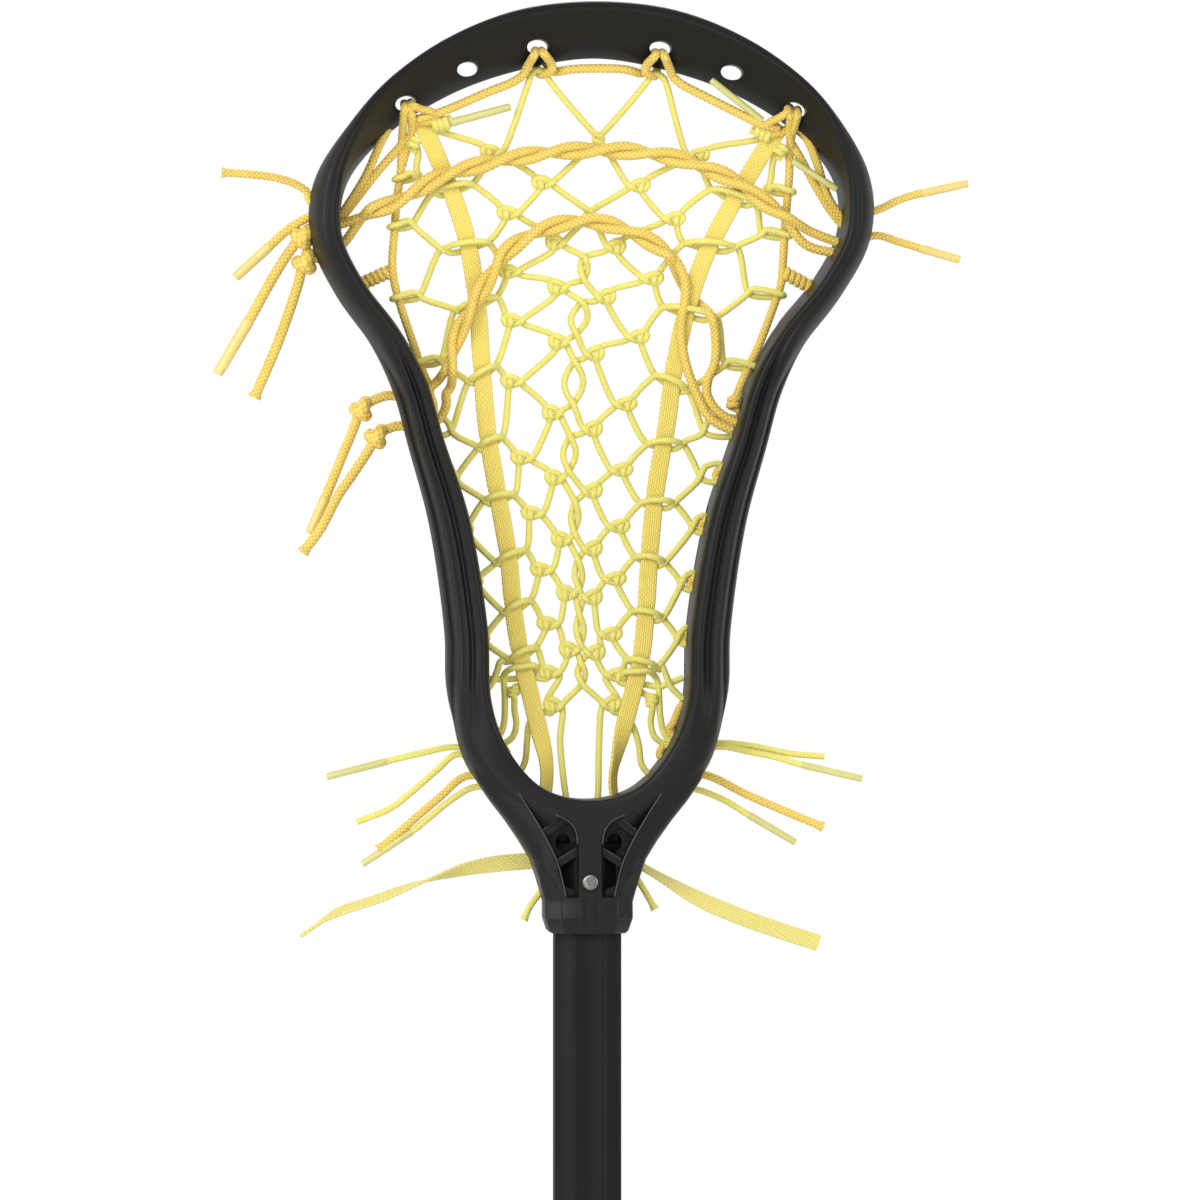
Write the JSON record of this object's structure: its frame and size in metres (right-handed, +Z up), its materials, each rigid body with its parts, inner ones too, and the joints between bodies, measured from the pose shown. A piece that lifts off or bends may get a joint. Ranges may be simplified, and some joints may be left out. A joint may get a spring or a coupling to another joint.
{
  "type": "women's lacrosse stick",
  "caption": "Women's lacrosse stick: moulded head with a strung diamond net, flat runners and shooting strings, on a hollow octagonal shaft with a rubber end cap.",
  "frame": {"origin": "on the shaft's axis, in the plane of the collar's lower end, where the upper hand closes round the stick", "axes": "+Z up the shaft to the scoop, -Y out of the side that carries the ball, +X to the right seen from there"},
  "size_m": [0.2868, 0.045, 1.088],
  "materials": {
    "head_plastic": "satin black nylon",
    "shaft_metal": "satin black anodised",
    "cap_rubber": "matt black",
    "screw_steel": "dark zinc",
    "gold_string": "braided nylon cord",
    "lemon_string": "fine braided nylon",
    "flat_lace": "flat woven lace",
    "aglet_plastic": "glossy tipping"
  },
  "bodies": {
    "stick": {"head_frame": "head_plastic", "shaft": "shaft_metal", "head_screw": "screw_steel", "cross_lace_net": "lemon_string", "runner_left": "flat_lace", "runner_right": "flat_lace", "top_string": "gold_string", "sidewall_string_left": "gold_string", "sidewall_string_right": "gold_string", "corner_tie_left": "gold_string", "corner_tie_right": "gold_string", "shooting_string_upper": "gold_string", "shooting_string_lower": "gold_string", "corner_knot_left": "gold_string", "corner_knot_right": "gold_string", "side_knot_left": "gold_string", "side_knot_right": "gold_string", "inner_aglet_left": "aglet_plastic", "inner_aglet_right": "aglet_plastic", "inner_aglet_side": "aglet_plastic", "tail_left_1": "gold_string", "tail_left_2": "gold_string", "tail_left_3": "gold_string", "tail_left_4": "gold_string", "tail_left_5": "gold_string", "tail_left_6": "gold_string", "tail_left_7": "lemon_string", "tail_left_8": "lemon_string", "tail_left_9": "gold_string", "tail_left_10": "lemon_string", "tail_right_1": "gold_string", "tail_right_2": "gold_string", "tail_right_3": "lemon_string", "tail_right_4": "lemon_string", "tail_right_5": "gold_string", "tail_right_6": "lemon_string", "aglet_left_2": "aglet_plastic", "aglet_left_3": "aglet_plastic", "aglet_left_4": "aglet_plastic", "aglet_left_5": "aglet_plastic", "aglet_left_7": "aglet_plastic", "aglet_left_10": "aglet_plastic", "aglet_right_1": "aglet_plastic", "aglet_right_2": "aglet_plastic", "aglet_right_4": "aglet_plastic", "aglet_right_6": "aglet_plastic", "lace_tail_left": "flat_lace", "lace_tail_right": "flat_lace", "short_tail_left": "lemon_string", "short_tail_right": "lemon_string"},
    "cap": {"end_cap": "cap_rubber"}
  },
  "joints": [
    {"name": "end_cap_pull", "type": "slide", "parent": "stick", "child": "cap", "axis": [0, 0, -1], "range_m": [0, 0.045]}
  ]
}
